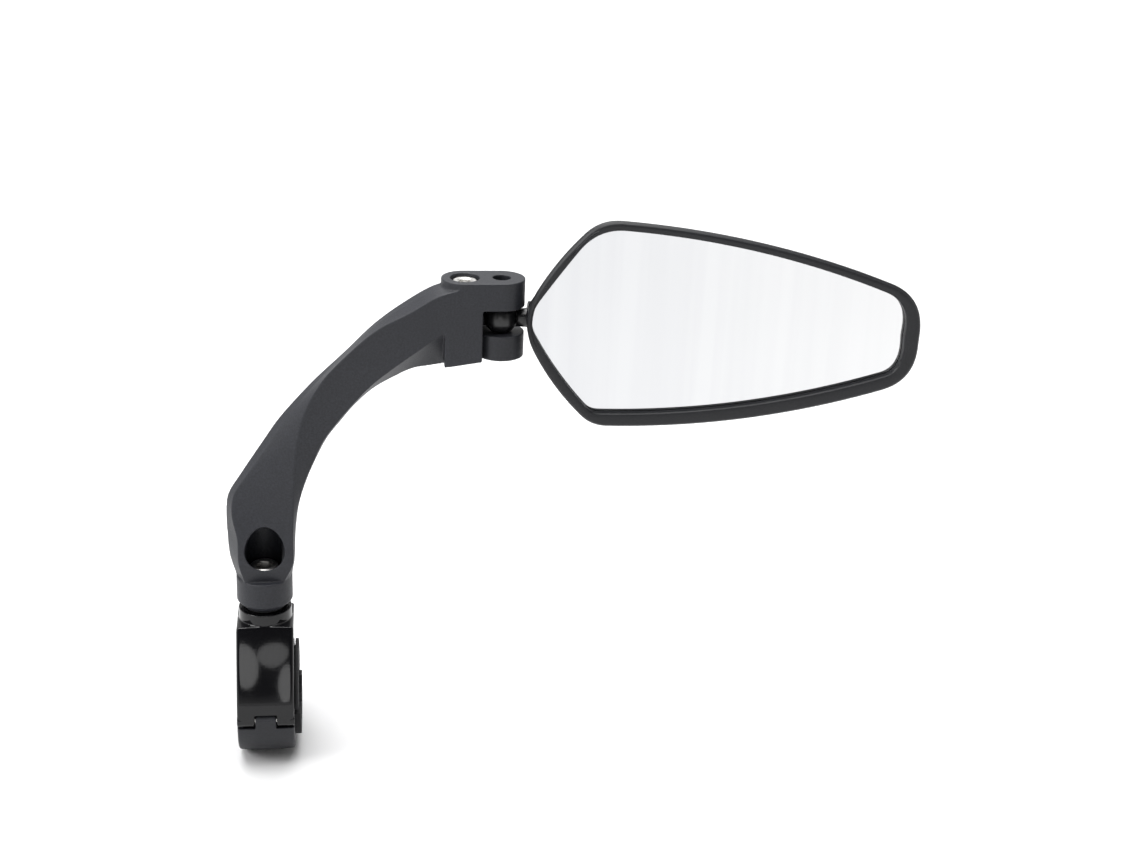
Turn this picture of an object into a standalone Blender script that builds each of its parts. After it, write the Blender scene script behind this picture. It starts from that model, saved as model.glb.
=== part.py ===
"""Handlebar mirror for a bicycle: hinged bar clamp, swivelling arm, ball joint and mirror head.

Frame: origin at the centre of the clamp's bore, +X along the handlebar towards the mirror,
-Y the side the mirror faces, +Z up. All the numbers below are in millimetres; the meshes
are written in metres.
"""

import math

import bmesh
import bpy
from mathutils import Matrix, Vector

MM = 0.001
GAP = 0.3                # running clearance between neighbouring solids

# Handlebar clamp
BAR_R = 11.1             # 22.2 mm handlebar
BORE_R = 16.1            # bore for a 31.8 mm bar when the shims are left out
RING_R = 21.2
RING_HALF_W = 10.0
HINGE_Y = -18.6
HINGE_Z = -1.0
HINGE_R = 2.5
HINGE_TAB_HALF = 3.6     # centre knuckle, on the lower half
NOTCH_REACH = (6.0, 5.0) # depth of the hinge notch in front of the pin and behind it
PIN_R = 1.3
LUG_Y = 25.2             # axis of the closing screw
LUG_END_Y = 30.0
LUG_HALF_W = 6.0
LUG_TOP_Z = 6.5
LUG_BOTTOM_Z = -6.6
CLAMP_SCREW_R = 2.5
CLAMP_BORE_R = 3.1       # wide enough for the lower half to swing off the screw
NUT_POCKET_Z = 2.2
SEAT_R = 9.3
SEAT_TOP = 35.0
SADDLE_HALF = 9.5        # the ring rises to the seat between tangent flanks
SADDLE_TOP = 31.0
SHIM_R = 15.8
SHIM_FLANGE_R = 18.6

# Swivel between clamp and arm
WASHER_Z = (35.3, 35.7)
COLLAR_BOTTOM = 36.0
COLLAR_EDGE = 38.2
COLLAR_R = 9.8
COLLAR_TOP = 47.3
BASE_SCREW_R = 3.0
BASE_BORE_R = 3.3
BASE_FLOOR = 43.3
BASE_HEAD_R = 5.0
BASE_HEAD_TOP = 51.1
BASE_HEAD_H = 6.0
BASE_POCKET_R = 6.3
BASE_POCKET_TOP = 66.0
WINDOW_HALF_W = 6.8      # egg-shaped tool window in the front of the arm's foot
WINDOW_HALF_H = 7.4
WINDOW_TILT = math.radians(28)
WINDOW_CENTRE = (0.6, -8.5, 61.0)

# Ball clamp at the arm's end
BALL = Vector((81.2, 0.0, 142.4))
BALL_R = 5.6
JAW_R = 8.0
TOP_Z = 156.6
UPPER_JAW_Z = 147.0
LOWER_JAW_TOP = 137.9
LOWER_JAW_BOTTOM = 129.4
BLOCK_X = 74.6           # right face of the arm's block, beside the ball slot
WEB_X = (73.0, 77.7)     # web that closes the slot at the rear
WEB_FRONT_Y = 3.2
SCREW_X = 68.8
BALL_SCREW_R = 2.5
BALL_BORE_R = 2.8
BALL_HEAD_R = 4.35
BALL_HEAD_Z = 150.7      # underside of the head
BALL_HEAD_H = 5.0
BALL_SHANK_LENGTH = 20.2
BALL_WASHER_Z = (149.7, 150.4)
COUNTERBORE_R = 4.95
COUNTERBORE_Z = 149.4
RELIEF_R = 3.05          # hole in the top face above the ball
TAIL_HALF_W = 5.0        # tongue of the lower jaw, inside the block

# Mirror head: each outline has its corners in X and Z (tip, top, outer top, outer bottom,
# bottom), how far the edge after each corner bows outwards, and where its rounding starts
RIM = ([(87.2, 143.5), (113.3, 179.1), (226.7, 152.0), (226.1, 121.8), (112.9, 105.8)],
       [2.7, 5.1, -0.2, 5.4, 2.8],
       [12.4, 7.2, 13.3, 11.8, 5.3])
OPENING = ([(89.2, 144.8), (112.0, 176.0), (224.2, 149.2), (223.7, 126.4), (112.5, 110.7)],
           [0.4, 5.2, -3.3, 5.1, 1.6],
           [7.6, 9.6, 12.7, 9.4, 3.0])
BEZEL_FRONT_Y = -9.4
LIP_REAR_Y = -6.7
GLASS_Y = (-6.4, -4.4)
BEZEL_REAR_Y = -3.9
BEZEL_TAPER = 0.9        # how far the bezel draws in from front to rear
SHELL_RIM_Y = -3.6
PAD_Y = (-4.1, -3.3)
RIB_FRONT_Y = -3.0
SHELL_BACK_Y = 7.6
GLASS_LAP = 0.9          # how far the glass reaches under the lip
STUD_SHANK_R = 2.0
STUD_NECK_R = 3.1
STUD_FLARE_R = 3.3
STUD_END_X = 99.6
HEAD_WALL_X = (90.5, 93.4)
BOSS_R = 5.6             # boss around the stud, its washer and its nut
BOSS_END_X = 100.0
RIB_X = (125.0, 160.0, 195.0)
RIB_INSET = 5.0


# ---------------------------------------------------------------- helpers

def clear_scene():
    for obj in list(bpy.data.objects):
        bpy.data.objects.remove(obj, do_unlink=True)


def make_material(name, colour, roughness, metallic=0.0):
    mat = bpy.data.materials.new(name)
    mat.use_nodes = True
    shader = mat.node_tree.nodes["Principled BSDF"]
    shader.inputs["Base Color"].default_value = (*colour, 1.0)
    shader.inputs["Roughness"].default_value = roughness
    shader.inputs["Metallic"].default_value = metallic
    return mat


def finish_mesh(name, bm):
    """Weld, triangulate and orient a bmesh given in millimetres, and link it as an object."""
    bmesh.ops.remove_doubles(bm, verts=bm.verts, dist=0.0005)
    bmesh.ops.triangulate(bm, faces=bm.faces)
    bmesh.ops.recalc_face_normals(bm, faces=bm.faces)
    if bm.calc_volume(signed=True) < 0:
        bmesh.ops.reverse_faces(bm, faces=bm.faces)
    bmesh.ops.scale(bm, vec=(MM, MM, MM), verts=bm.verts)
    mesh = bpy.data.meshes.new(name)
    bm.to_mesh(mesh)
    bm.free()
    obj = bpy.data.objects.new(name, mesh)
    bpy.context.collection.objects.link(obj)
    return obj


def loft(name, rings):
    """Closed solid through rings of points that all have the same count."""
    bm = bmesh.new()
    levels = [[bm.verts.new(p) for p in ring] for ring in rings]
    count = len(rings[0])
    for low, high in zip(levels, levels[1:]):
        for i in range(count):
            j = (i + 1) % count
            bm.faces.new((low[i], low[j], high[j], high[i]))
    bm.faces.new(list(reversed(levels[0])))
    bm.faces.new(levels[-1])
    return finish_mesh(name, bm)


def prism(name, outline, start, end, axis="z"):
    """Extrude a closed outline between two positions along an axis."""
    def point(pair, along):
        u, v = pair
        return {"x": (along, u, v), "y": (u, along, v), "z": (u, v, along)}[axis]
    return loft(name, [[point(p, start) for p in outline], [point(p, end) for p in outline]])


def circle(cx, cy, radius, steps=32, start=0.0, sweep=2 * math.pi):
    """Points on a circle; an open arc also gets its end point."""
    closed = abs(sweep - 2 * math.pi) < 1e-9
    count = steps if closed else steps + 1
    return [(cx + radius * math.cos(start + sweep * i / steps),
             cy + radius * math.sin(start + sweep * i / steps)) for i in range(count)]


def hexagon(cx, cy, across_flats, turn=0.0):
    radius = across_flats / math.sqrt(3.0)
    return circle(cx, cy, radius, 6, turn)


def rounded_box(cx, cy, half_x, half_y, radius, steps=4):
    points = []
    for quarter, (sx, sy) in enumerate(((1, 1), (-1, 1), (-1, -1), (1, -1))):
        centre = (cx + sx * (half_x - radius), cy + sy * (half_y - radius))
        points += circle(*centre, radius, steps, quarter * math.pi / 2, math.pi / 2)
    return points


def turned(name, profile, centre, axis="z", steps=32):
    """Revolve (radius, height) pairs about an axis; a zero radius closes on the axis."""
    bm = bmesh.new()
    rows = []
    for radius, height in profile:
        if radius == 0:
            rows.append([bm.verts.new((0, 0, height))])
        else:
            rows.append([bm.verts.new((x, y, height)) for x, y in circle(0, 0, radius, steps)])
    hollow = profile[0][0] > 0
    pairs = list(zip(rows, rows[1:]))
    if hollow:
        pairs.append((rows[-1], rows[0]))
    for low, high in pairs:
        for i in range(steps):
            j = (i + 1) % steps
            corners = [low[i % len(low)], low[j % len(low)], high[j % len(high)], high[i % len(high)]]
            bm.faces.new(list(dict.fromkeys(corners)))
    turn = {"z": Matrix.Identity(3),
            "x": Matrix.Rotation(math.pi / 2, 3, "Y"),
            "-z": Matrix.Rotation(math.pi, 3, "X")}[axis]
    for vert in bm.verts:
        vert.co = turn @ vert.co + Vector(centre)
    return finish_mesh(name, bm)


def boolean(target, tools, operation="DIFFERENCE"):
    """Combine target with each tool, keep the result as its mesh, and drop the tools."""
    for tool in tools:
        mod = target.modifiers.new(tool.name, "BOOLEAN")
        mod.operation = operation
        mod.solver = "EXACT"
        mod.object = tool
    graph = bpy.context.evaluated_depsgraph_get()
    mesh = bpy.data.meshes.new_from_object(target.evaluated_get(graph))
    target.modifiers.clear()
    target.data = mesh
    for tool in tools:
        bpy.data.objects.remove(tool, do_unlink=True)
    return target


def dress(obj, material, pivot=None):
    """Give the object its material, tidy its mesh, and put its origin on its joint axis."""
    bm = bmesh.new()
    bm.from_mesh(obj.data)
    bmesh.ops.remove_doubles(bm, verts=bm.verts, dist=0.000002)
    bmesh.ops.dissolve_degenerate(bm, edges=bm.edges, dist=0.000001)
    bmesh.ops.triangulate(bm, faces=bm.faces)
    for face in bm.faces:
        face.smooth = True
    bm.to_mesh(obj.data)
    bm.free()
    obj.data.set_sharp_from_angle(angle=math.radians(30))
    obj.data.materials.clear()
    obj.data.materials.append(material)
    for polygon in obj.data.polygons:
        polygon.material_index = 0
    if pivot is not None:
        origin = Vector(pivot) * MM
        obj.data.transform(Matrix.Translation(-origin))
        obj.location = origin
    return obj


def smooth_rail(points, count):
    """Catmull-Rom curve through the points, sampled evenly in the curve's parameter."""
    vectors = [Vector(p) for p in points]
    padded = [2 * vectors[0] - vectors[1], *vectors, 2 * vectors[-1] - vectors[-2]]
    out = []
    for i in range(count + 1):
        s = i / count * (len(points) - 1)
        k = min(int(s), len(points) - 2)
        t = s - k
        a, b, c, d = padded[k:k + 4]
        out.append(0.5 * ((2 * b) + (c - a) * t + (2 * a - 5 * b + 4 * c - d) * t * t
                          + (3 * b - a - 3 * c + d) * t ** 3))
    return out


# ---------------------------------------------------------------- handlebar clamp

def ring_half(name, sign):
    """Half of the clamp band: outline in Y and Z, from the hinge side round to the lug."""
    split = GAP / 2 * sign
    front = math.asin(split / RING_R)
    outer_steps = 24
    tangent = math.acos(RING_R / math.hypot(SADDLE_HALF, SADDLE_TOP))
    lean = math.atan2(SADDLE_HALF, SADDLE_TOP)
    outline = []
    if sign > 0:
        rise = math.pi / 2 - (lean + tangent)
        outline += [(-y, z) for y, z in circle(0, 0, RING_R, outer_steps // 2, front, rise - front)]
        outline += [(-SADDLE_HALF, SADDLE_TOP), (SADDLE_HALF, SADDLE_TOP)]
        lug_angle = math.asin(LUG_TOP_Z / RING_R)
        outline += circle(0, 0, RING_R, outer_steps // 2, rise, lug_angle - rise)
    else:
        lug_angle = math.asin(LUG_BOTTOM_Z / RING_R)
        arc = circle(0, 0, RING_R, outer_steps, math.pi - front, math.pi + lug_angle + front)
        outline += arc
    outline += circle(0, 0, BORE_R, outer_steps, math.asin(split / BORE_R),
                      sign * math.pi - 2 * math.asin(split / BORE_R))
    body = prism(name, outline, -RING_HALF_W, RING_HALF_W, "x")
    top = LUG_TOP_Z if sign > 0 else LUG_BOTTOM_Z
    lug_outline = rounded_box(0, (17.4 + LUG_END_Y) / 2, LUG_HALF_W, (LUG_END_Y - 17.4) / 2, 2.0)
    lug = prism("lug", lug_outline, min(split, top), max(split, top), "z")
    return boolean(body, [lug], "UNION")


def knuckle(x_low, x_high, radius):
    return prism("knuckle", circle(HINGE_Y, HINGE_Z, radius, 20), x_low, x_high, "x")


def hinge_notch(x_low, x_high, z_low, z_high):
    """Square notch through the band at the hinge, so that the two halves can fold apart."""
    front = HINGE_Y - NOTCH_REACH[0]
    rear = HINGE_Y + NOTCH_REACH[1]
    outline = [(front, z_low), (rear, z_low), (rear, z_high), (front, z_high)]
    return prism("notch", outline, x_low, x_high, "x")


def pin_bore():
    return prism("pin_bore", circle(HINGE_Y, HINGE_Z, PIN_R + GAP / 2, 16), -12, 12, "x")


def build_clamp_upper(material):
    body = ring_half("clamp_upper", 1)
    side = [knuckle(-RING_HALF_W, -HINGE_TAB_HALF - GAP, HINGE_R),
            knuckle(HINGE_TAB_HALF + GAP, RING_HALF_W, HINGE_R)]
    seat = prism("seat", circle(0, 0, SEAT_R, 40), 24.0, SEAT_TOP)
    boolean(body, [*side, seat], "UNION")
    cutters = [
        hinge_notch(-HINGE_TAB_HALF - GAP, HINGE_TAB_HALF + GAP, -5, HINGE_Z + HINGE_R + GAP),
        pin_bore(),
        prism("screw_bore", circle(0, 0, BASE_BORE_R, 24), 10.0, SEAT_TOP + 1),
        prism("nut_pocket", hexagon(0, 0, 10.6, math.pi / 6), 10.0, 23.3),
        prism("lug_bore", circle(0, LUG_Y, CLAMP_BORE_R, 20), -1, LUG_TOP_Z + 1),
        prism("lug_pocket", hexagon(0, LUG_Y, 8.6), NUT_POCKET_Z, LUG_TOP_Z + 1),
    ]
    return dress(boolean(body, cutters), material)


def build_clamp_lower(material):
    body = ring_half("clamp_lower", -1)
    trim = [hinge_notch(-RING_HALF_W - 1, -HINGE_TAB_HALF, HINGE_Z - HINGE_R - GAP, 1),
            hinge_notch(HINGE_TAB_HALF, RING_HALF_W + 1, HINGE_Z - HINGE_R - GAP, 1)]
    boolean(body, trim)
    boolean(body, [knuckle(-HINGE_TAB_HALF, HINGE_TAB_HALF, HINGE_R)], "UNION")
    lug_bore = prism("lug_bore", circle(0, LUG_Y, CLAMP_BORE_R, 20), LUG_BOTTOM_Z - 1, 1)
    return dress(boolean(body, [pin_bore(), lug_bore]), material, (0, HINGE_Y, HINGE_Z))


def half_shell(name, inner, outer, sign, x_low, x_high, margin):
    """Half tube about X, stopping a margin short of the split plane."""
    start = math.asin(margin / inner)
    sweep = math.pi - 2 * start
    outline = circle(0, 0, outer, 20, start, sweep)
    outline += list(reversed(circle(0, 0, inner, 20, start, sweep)))
    return prism(name, [(y, sign * z) for y, z in outline], x_low, x_high, "x")


def build_shims(material):
    upper = half_shell("shim_upper", BAR_R, SHIM_R, 1, -RING_HALF_W, RING_HALF_W + 1.4, 0.6)
    flange = half_shell("flange", SHIM_R - 1, SHIM_FLANGE_R, 1, RING_HALF_W + GAP, RING_HALF_W + 1.4, 2.0)
    boolean(upper, [flange], "UNION")
    lower = half_shell("shim_lower", BAR_R, SHIM_R, -1, -RING_HALF_W, RING_HALF_W + 2.2, 0.6)
    return [dress(upper, material), dress(lower, material, (0, HINGE_Y, HINGE_Z))]


def build_hinge_pin(material):
    end = RING_HALF_W - 0.2
    profile = [(0, -end), (PIN_R - 0.3, -end), (PIN_R, -end + 0.3),
               (PIN_R, end - 0.3), (PIN_R - 0.3, end), (0, end)]
    return dress(turned("hinge_pin", profile, (0, HINGE_Y, HINGE_Z), "x", 16), material)


def hex_nut(name, centre, across, bore, height, turn=0.0):
    nut = prism(name, hexagon(centre[0], centre[1], across, turn), centre[2], centre[2] + height)
    hole = prism("hole", circle(centre[0], centre[1], bore, 20), centre[2] - 1, centre[2] + height + 1)
    return boolean(nut, [hole])


def washer(name, centre, inner, outer, z_low, z_high, steps=32):
    profile = [(inner, z_low), (outer, z_low), (outer, z_high), (inner, z_high)]
    return turned(name, profile, (centre[0], centre[1], 0), "z", steps)


def cap_screw(name, centre, head_z, shank_r, head_r, head_h, length, socket, down=True):
    """Socket head screw: underside of the head at head_z, shank running down or up."""
    bevel = 0.4
    profile = [(0, -length), (shank_r - bevel, -length), (shank_r, -length + bevel), (shank_r, 0),
               (head_r, 0), (head_r, head_h - bevel), (head_r - bevel, head_h), (0, head_h)]
    axis = "z" if down else "-z"
    screw = turned(name, profile, (*centre, head_z), axis, 32)
    side = 1 if down else -1
    ends = sorted((head_z + side * (head_h - 0.55 * head_h), head_z + side * (head_h + 1)))
    recess = prism("socket", hexagon(centre[0], centre[1], socket), *ends)
    return boolean(screw, [recess])


def build_clamp_screw(material):
    screw = cap_screw("clamp_screw", (0, LUG_Y), -8.0, CLAMP_SCREW_R, 4.25, 5.0, 13.0, 4.0, down=False)
    return dress(screw, material, (0, LUG_Y, 0))


# ---------------------------------------------------------------- arm

def arm_sections():
    """Sections of the arm from its foot to the ball clamp.

    Each row holds the crest, the left edge of the front face, the front ridge and the front
    lower edge. A foot section is nearly square. Up the arm the left edge runs out into the
    crest, the ridge turns over the top, and the front face turns with it.
    """
    rows = [
        # crest (x, z)    left edge (x, y, z)    ridge (x, y, z)       lower edge (x, y, z)   under (x, z)
        ((-11.9, 55.0), (-8.4, -8.3, 55.0), (10.2, -8.9, 55.0), (10.7, -6.5, 55.0), (10.8, 55.0)),
        ((-12.5, 64.0), (-8.6, -7.6, 64.0), (10.4, -8.8, 64.0), (11.0, -6.3, 64.0), (11.2, 64.0)),
        ((-12.6, 72.0), (-10.4, -4.8, 72.0), (10.6, -8.6, 73.0), (12.0, -6.2, 74.0), (12.4, 73.5)),
        ((-11.6, 78.5), (-9.6, -3.0, 79.0), (10.8, -8.5, 82.5), (14.2, -6.1, 83.0), (14.8, 82.0)),
        ((-7.1, 86.0), (-4.9, -2.8, 86.6), (11.1, -8.2, 91.0), (17.2, -6.0, 91.0), (18.0, 90.0)),
        ((0.4, 97.6), (2.6, -2.8, 97.6), (12.3, -7.8, 100.5), (21.2, -6.0, 100.0), (22.2, 98.6)),
        ((6.8, 107.0), (8.4, -2.8, 106.6), (14.8, -7.3, 110.5), (25.8, -6.0, 106.6), (26.8, 104.8)),
        ((17.6, 119.4), (18.2, -2.6, 119.2), (20.8, -7.0, 121.8), (31.4, -6.2, 113.6), (32.0, 111.2)),
        ((28.4, 130.0), (28.4, -2.4, 130.2), (28.6, -7.0, 130.7), (38.0, -6.8, 121.0), (38.2, 117.0)),
        ((39.0, 140.6), (38.9, -2.6, 140.5), (39.0, -7.5, 140.2), (45.4, -7.6, 127.4), (45.2, 121.2)),
        ((50.0, 148.8), (49.9, -3.0, 148.0), (49.7, -8.0, 146.3), (53.2, -8.0, 133.4), (51.6, 124.2)),
        ((59.2, 154.0), (59.2, -3.0, 153.4), (59.0, -8.0, 151.9), (60.4, -8.0, 138.8), (58.6, 125.4)),
        ((67.0, 155.2), (67.0, -3.0, 155.0), (67.0, -8.0, 154.6), (67.5, -8.0, 141.8), (66.0, 126.6)),
    ]
    rings = []
    for crest, left, ridge, lower, under in rows:
        t = Vector((crest[0], 0.6, crest[1]))
        f = Vector(left)
        r = Vector(ridge)
        low = Vector(lower)
        b = Vector((under[0], 0.0, under[1]))
        centre = (t + r + low + b) / 4
        back_top = t.lerp(Vector((centre.x, 0, centre.z)), 0.30)
        back_top.y = -ridge[1] - 1.4
        back_low = b.lerp(Vector((centre.x, 0, centre.z)), 0.24)
        back_low.y = -lower[1] + 0.2
        rings.append([t, f, r, low, b, back_low, back_top])
    return rings


def foot_ring(height):
    """The lowest section lies on the collar's circle, point for point with the others."""
    angles = (180, 228, 316, 334, 0, 42, 136)
    return [Vector((COLLAR_R * math.cos(math.radians(a)), COLLAR_R * math.sin(math.radians(a)), height))
            for a in angles]


def build_arm(material):
    rings = [foot_ring(COLLAR_TOP - 1.5), foot_ring(COLLAR_TOP), *arm_sections()]
    rails = [smooth_rail([ring[i] for ring in rings], 3 * (len(rings) - 1)) for i in range(7)]
    arm = loft("arm", [list(section) for section in zip(*rails)])
    stadium = circle(BALL.x, 0, JAW_R, 16, -math.pi / 2, math.pi)
    stadium += circle(SCREW_X, 0, JAW_R, 16, math.pi / 2, math.pi)
    jaw = prism("jaw", stadium, UPPER_JAW_Z, TOP_Z)
    block_outline = [(61.9, 127.1), (64.4, 127.4), (BLOCK_X, 129.0), (BLOCK_X, UPPER_JAW_Z + 1),
                     (61.9, UPPER_JAW_Z + 1)]
    block = prism("block", block_outline, -JAW_R, JAW_R, "y")
    web_low = LOWER_JAW_TOP + 0.5
    web_high = UPPER_JAW_Z + 1.3
    web_outline = [(WEB_X[0], web_low), (WEB_X[1], web_low), (WEB_X[1], web_high), (WEB_X[0], web_high)]
    web = prism("web", web_outline, WEB_FRONT_Y, JAW_R - 0.3, "y")
    collar = turned("collar", [(0, COLLAR_BOTTOM), (7.6, COLLAR_BOTTOM), (COLLAR_R, COLLAR_EDGE),
                               (COLLAR_R, COLLAR_TOP), (0, COLLAR_TOP)], (0, 0, 0), "z", 40)
    boolean(arm, [jaw, block, web, collar], "UNION")
    boolean(arm, arm_cutters())
    return dress(arm, material, (0, 0, COLLAR_BOTTOM))


def window_cutter():
    """Egg-shaped passage that slopes down from the front of the foot to the screw's head."""
    egg = []
    for i in range(28):
        a = 2 * math.pi * i / 28
        narrowing = 1 - 0.16 * math.cos(a)
        egg.append((WINDOW_HALF_W * math.sin(a) * narrowing, WINDOW_HALF_H * math.cos(a)))
    inward = Vector((0, math.cos(WINDOW_TILT), -math.sin(WINDOW_TILT)))
    upward = Vector((0, math.sin(WINDOW_TILT), math.cos(WINDOW_TILT)))
    centre = Vector(WINDOW_CENTRE)
    rings = [[centre + inward * depth + Vector((u, 0, 0)) + upward * v for u, v in egg]
             for depth in (-9.0, 9.5)]
    return loft("window", rings)


def arm_cutters():
    slot_end = BALL.x + JAW_R + 1
    return [
        prism("base_bore", circle(0, 0, BASE_BORE_R, 24), COLLAR_BOTTOM - 1, BASE_FLOOR + 1),
        prism("base_pocket", circle(0, 0, BASE_POCKET_R, 32), BASE_FLOOR, BASE_POCKET_TOP),
        window_cutter(),
        prism("counterbore", circle(SCREW_X, 0, COUNTERBORE_R, 32), COUNTERBORE_Z, TOP_Z + 1),
        prism("screw_bore", circle(SCREW_X, 0, BALL_BORE_R, 24), 120, TOP_Z),
        prism("relief", circle(BALL.x, 0, RELIEF_R, 24), UPPER_JAW_Z - 1, TOP_Z + 1),
        turned("socket", ball_profile(BALL_R + GAP), BALL, "z", 32),
        prism("tail_pocket", rounded_box(0.5 * (62.9 + slot_end), 0, 0.5 * (slot_end - 62.9),
                                         TAIL_HALF_W + GAP, 1.0), 120, LOWER_JAW_TOP + GAP),
    ]


def ball_profile(radius, steps=12):
    return [(radius * math.sin(math.pi * i / steps) if 0 < i < steps else 0,
             -radius * math.cos(math.pi * i / steps)) for i in range(steps + 1)]


def build_base_screw(material):
    head_z = BASE_HEAD_TOP - BASE_HEAD_H
    screw = cap_screw("base_screw", (0, 0), head_z, BASE_SCREW_R, BASE_HEAD_R, BASE_HEAD_H,
                      head_z - 17.6, 5.0)
    return dress(screw, material, (0, 0, COLLAR_BOTTOM))


# ---------------------------------------------------------------- ball clamp

def build_ball_screw(material):
    screw = cap_screw("ball_screw", (SCREW_X, 0), BALL_HEAD_Z, BALL_SCREW_R, BALL_HEAD_R,
                      BALL_HEAD_H, BALL_SHANK_LENGTH, 4.0)
    return dress(screw, material, (SCREW_X, 0, BALL_HEAD_Z))


def build_lower_jaw(material):
    left = BLOCK_X + GAP
    reach = math.acos((left - BALL.x) / JAW_R)
    outline = circle(BALL.x, 0, JAW_R, 24, -reach, 2 * reach)
    jaw = prism("lower_jaw", outline, LOWER_JAW_BOTTOM, LOWER_JAW_TOP)
    tail = prism("tail", rounded_box(70.5, 0, 7.2, TAIL_HALF_W, 1.0), LOWER_JAW_BOTTOM, LOWER_JAW_TOP)
    boolean(jaw, [tail], "UNION")
    cutters = [
        turned("cup", ball_profile(BALL_R + GAP), BALL, "z", 32),
        prism("bore", circle(SCREW_X, 0, BALL_BORE_R, 24), 120, 145),
        prism("nut_pocket", hexagon(SCREW_X, 0, 8.6, math.pi / 6), 120, LOWER_JAW_BOTTOM + 4.6),
    ]
    return dress(boolean(jaw, cutters), material, (SCREW_X, 0, LOWER_JAW_TOP))


def build_pivot_ball(material):
    return dress(turned("pivot_ball", ball_profile(BALL_R, 16), BALL, "x", 32), material, BALL)


def build_ball_stud(material):
    """Neck, flare and threaded shank; its hollow end stands clear of the ball."""
    cup = BALL_R + GAP
    rim = math.sqrt(cup ** 2 - STUD_NECK_R ** 2)
    halfway = 0.5 * STUD_NECK_R
    profile = [(0, cup), (halfway, math.sqrt(cup ** 2 - halfway ** 2)), (STUD_NECK_R, rim),
               (STUD_NECK_R, 6.6), (STUD_FLARE_R, 8.6), (STUD_FLARE_R, 9.0), (STUD_SHANK_R, 9.0),
               (STUD_SHANK_R, STUD_END_X - BALL.x - 0.4), (STUD_SHANK_R - 0.4, STUD_END_X - BALL.x),
               (0, STUD_END_X - BALL.x)]
    return dress(turned("ball_stud", profile, BALL, "x", 28), material, BALL)


# ---------------------------------------------------------------- mirror head

def inset_corners(corners, inset):
    """The five corners after every edge has moved inwards by the inset."""
    lines = []
    for start, end in zip(corners, corners[1:] + corners[:1]):
        along = (end - start).normalized()
        lines.append((start + inset * Vector((along.y, -along.x)), along))
    moved = []
    for (p, d), (q, e) in zip(lines[-1:] + lines[:-1], lines):
        reach = ((q - p).x * e.y - (q - p).y * e.x) / (d.x * e.y - d.y * e.x)
        moved.append(p + reach * d)
    return moved


def head_outline(inset=0.0, shape=RIM, edge_steps=7, corner_steps=5):
    """Bowed edges joined by rounded corners, moved inwards by the inset."""
    full = [Vector(c) for c in shape[0]]
    bows = shape[1]
    trims = shape[2]
    corners = inset_corners(full, inset)
    edges = []
    for i, start in enumerate(corners):
        end = corners[(i + 1) % 5]
        along = end - start
        shrink = along.length / (full[(i + 1) % 5] - full[i]).length
        outward = Vector((-along.y, along.x)).normalized()
        middle = (start + end) / 2 + 2 * bows[i] * shrink ** 2 * outward
        u_low = min(trims[i] / along.length, 0.44)
        u_high = 1 - min(trims[(i + 1) % 5] / along.length, 0.44)
        edges.append([start.lerp(middle, u).lerp(middle.lerp(end, u), u)
                      for u in (u_low + (u_high - u_low) * k / edge_steps for k in range(edge_steps + 1))])
    points = []
    for i, edge in enumerate(edges):
        following = edges[(i + 1) % 5]
        a, b = edge[-1], following[0]
        ta, tb = edge[-1] - edge[-2], following[1] - following[0]
        reach = ((b - a).x * tb.y - (b - a).y * tb.x) / (ta.x * tb.y - ta.y * tb.x)
        knee = a + reach * ta
        points += edge
        points += [a.lerp(knee, k / corner_steps).lerp(knee.lerp(b, k / corner_steps), k / corner_steps)
                   for k in range(1, corner_steps)]
    return [tuple(point) for point in points]


def outline_span(x, inset):
    """Lowest and highest point of the inset rim at one place along X."""
    points = head_outline(inset)
    heights = [a[1] + (x - a[0]) / (b[0] - a[0]) * (b[1] - a[1])
               for a, b in zip(points, points[1:] + points[:1]) if (a[0] - x) * (b[0] - x) < 0]
    return min(heights), max(heights)


def head_loft(name, stations, shape=RIM):
    """Solid through head outlines given as (y, inset) pairs."""
    return loft(name, [[(x, y, z) for x, z in head_outline(inset, shape)] for y, inset in stations])


def build_bezel(material):
    body = head_loft("bezel", [(BEZEL_REAR_Y, BEZEL_TAPER), (BEZEL_FRONT_Y + 1.2, 0),
                               (BEZEL_FRONT_Y + 0.4, 0.4), (BEZEL_FRONT_Y, 1.2)])
    opening = head_loft("opening", [(BEZEL_FRONT_Y - 1, -0.3), (LIP_REAR_Y + 1, 0.1)], OPENING)
    recess = -GLASS_LAP - GAP
    rear = head_loft("rear", [(LIP_REAR_Y, recess), (BEZEL_REAR_Y + 1, recess)], OPENING)
    return dress(boolean(body, [opening, rear]), material, BALL)


def build_glass(material):
    glass = head_loft("mirror_glass", [(GLASS_Y[0], 0.4 - GLASS_LAP), (GLASS_Y[0] + 0.4, -GLASS_LAP),
                                       (GLASS_Y[1], -GLASS_LAP)], OPENING)
    return dress(glass, material, BALL)


def build_pad(material):
    pad = head_loft("glass_pad", [(PAD_Y[0], 6.0), (PAD_Y[1], 6.0)], OPENING)
    trim = prism("trim", rounded_box(90, BALL.z, 16, 60, 2.0), -20, 20, "y")
    return dress(boolean(pad, [trim]), material, BALL)


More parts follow.
